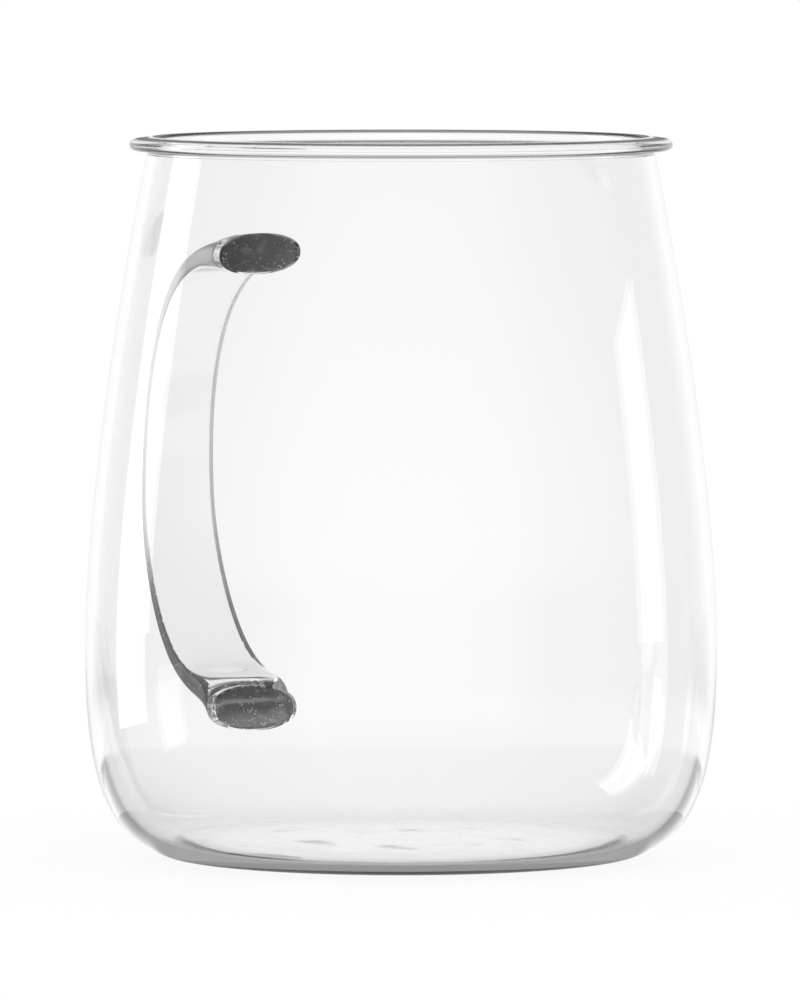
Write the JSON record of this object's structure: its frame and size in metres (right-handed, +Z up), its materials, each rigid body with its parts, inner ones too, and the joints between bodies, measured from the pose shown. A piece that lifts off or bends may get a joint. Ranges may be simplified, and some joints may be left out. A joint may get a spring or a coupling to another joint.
{
  "type": "glass mug",
  "caption": "Clear blown glass mug with a wide rounded belly, a narrower lipped mouth, a rounded heel and a flat strap handle.",
  "frame": {"origin": "centre of the flat foot, on the axis of the body", "axes": "+Z up the axis of the body, +X towards the handle, +Y across it"},
  "size_m": [0.1336, 0.1054, 0.1204],
  "materials": {
    "body_glass": "clear blown glass, fire polished, smooth",
    "handle_glass": "clear drawn glass strap with rounded edges",
    "seal_glass": "clear fused glass with fine seeds and swirls"
  },
  "bodies": {
    "mug": {"body": "body_glass", "handle": "handle_glass", "upper_seal": "seal_glass", "lower_seal": "seal_glass"}
  },
  "joints": []
}
